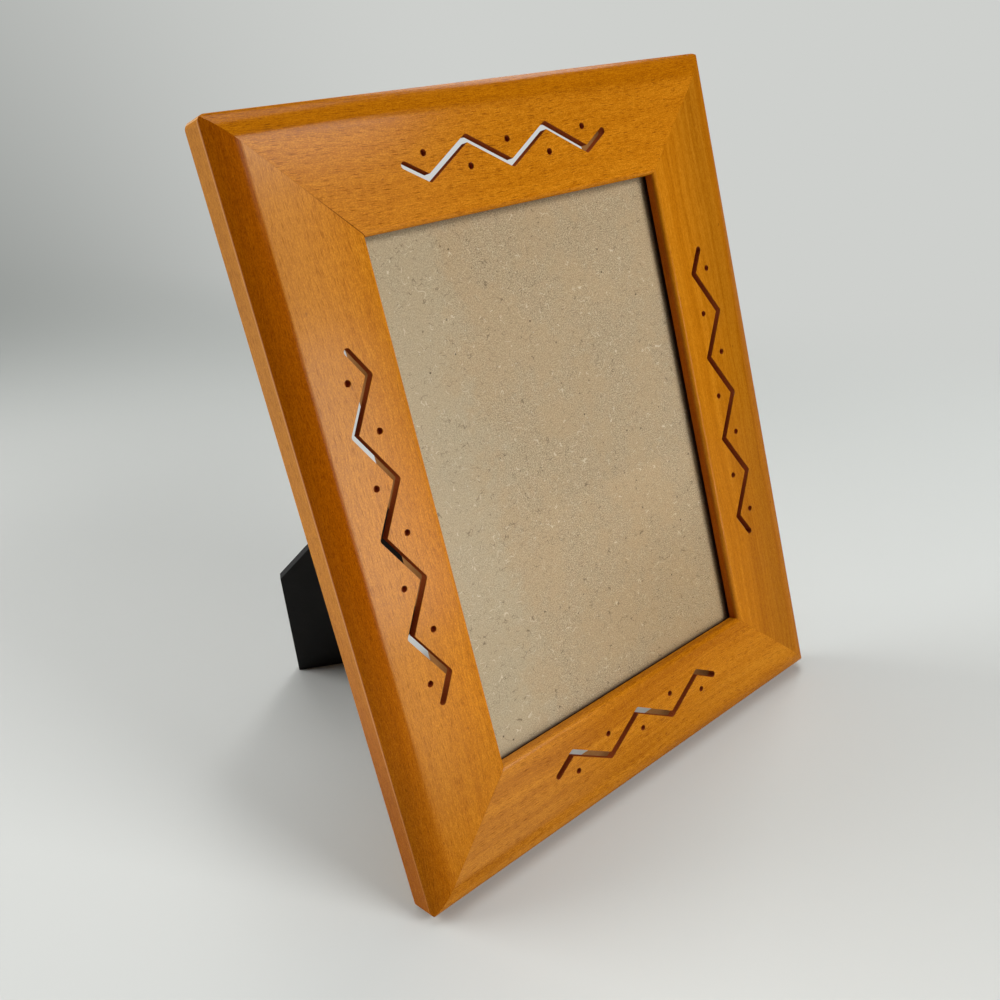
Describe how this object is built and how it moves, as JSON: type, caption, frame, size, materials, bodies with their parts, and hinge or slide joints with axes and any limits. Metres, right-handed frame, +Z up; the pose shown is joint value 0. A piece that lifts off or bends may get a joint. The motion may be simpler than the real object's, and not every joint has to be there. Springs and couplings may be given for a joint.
{
  "type": "picture frame",
  "caption": "Mitred beech table frame for a 13 x 18 cm picture, with sawn zigzag fretwork and drilled dots in its rails, glass, board and a folding easel strut.",
  "frame": {"origin": "on the table, in the middle of the standing object's outline seen from above", "axes": "+Z is up; the picture faces -Y and leans back 18 degrees; +X is to the right when looking at the picture"},
  "size_m": [0.1956, 0.1468, 0.2347],
  "materials": {
    "beech": "steamed beech under clear gloss lacquer, grain along each rail",
    "glass": "clear float glass",
    "grey_board": "matt uncoated greyboard with dark flecks and fibres",
    "black_board": "hardboard with a matt black coating",
    "steel": "zinc-plated sheet and wire"
  },
  "bodies": {
    "frame": {"rail_left": "beech", "rail_right": "beech", "rail_top": "beech", "rail_bottom": "beech", "corner_nails": "steel", "glass": "glass", "insert_board": "grey_board", "easel_back": "black_board", "hinge_leaf_back": "steel", "hinge_pin": "steel", "hinge_rivets_back": "steel", "turn_button_screws": "steel", "hanger_strap": "steel", "hanger_rivet": "steel"},
    "strut": {"strut": "black_board", "hinge_leaf_strut": "steel", "hinge_rivets_strut": "steel"},
    "turn_button_top_left": {"turn_button_top_left": "steel"},
    "turn_button_top_right": {"turn_button_top_right": "steel"},
    "turn_button_bottom_left": {"turn_button_bottom_left": "steel"},
    "turn_button_bottom_right": {"turn_button_bottom_right": "steel"},
    "turn_button_left": {"turn_button_left": "steel"},
    "turn_button_right": {"turn_button_right": "steel"},
    "hanger_ring": {"hanger_ring": "steel"}
  },
  "joints": [
    {"name": "strut_hinge", "type": "hinge", "parent": "frame", "child": "strut", "pos_m": [0.013, -0.01829, 0.13264], "axis": [-0.7694, 0.1974, 0.6075], "range_deg": [0, 44.8]},
    {"name": "turn_button_top_left_screw", "type": "hinge", "parent": "frame", "child": "turn_button_top_left", "pos_m": [-0.052, 0.00425, 0.20575], "axis": [0, -0.9511, 0.309], "range_deg": [-90, 90]},
    {"name": "turn_button_top_right_screw", "type": "hinge", "parent": "frame", "child": "turn_button_top_right", "pos_m": [0.052, 0.00425, 0.20575], "axis": [0, -0.9511, 0.309], "range_deg": [-90, 90]},
    {"name": "turn_button_bottom_left_screw", "type": "hinge", "parent": "frame", "child": "turn_button_bottom_left", "pos_m": [-0.052, -0.05508, 0.02315], "axis": [0, -0.9511, 0.309], "range_deg": [-90, 90]},
    {"name": "turn_button_bottom_right_screw", "type": "hinge", "parent": "frame", "child": "turn_button_bottom_right", "pos_m": [0.052, -0.05508, 0.02315], "axis": [0, -0.9511, 0.309], "range_deg": [-90, 90]},
    {"name": "turn_button_left_screw", "type": "hinge", "parent": "frame", "child": "turn_button_left", "pos_m": [-0.071, -0.00347, 0.18197], "axis": [0, -0.9511, 0.309], "range_deg": [-90, 90]},
    {"name": "turn_button_right_screw", "type": "hinge", "parent": "frame", "child": "turn_button_right", "pos_m": [0.071, -0.00347, 0.18197], "axis": [0, -0.9511, 0.309], "range_deg": [-90, 90]},
    {"name": "hanger_swing", "type": "hinge", "parent": "frame", "child": "hanger_ring", "pos_m": [0, 0.00012, 0.19027], "axis": [1, 0, 0], "range_deg": [-16, 160]}
  ]
}
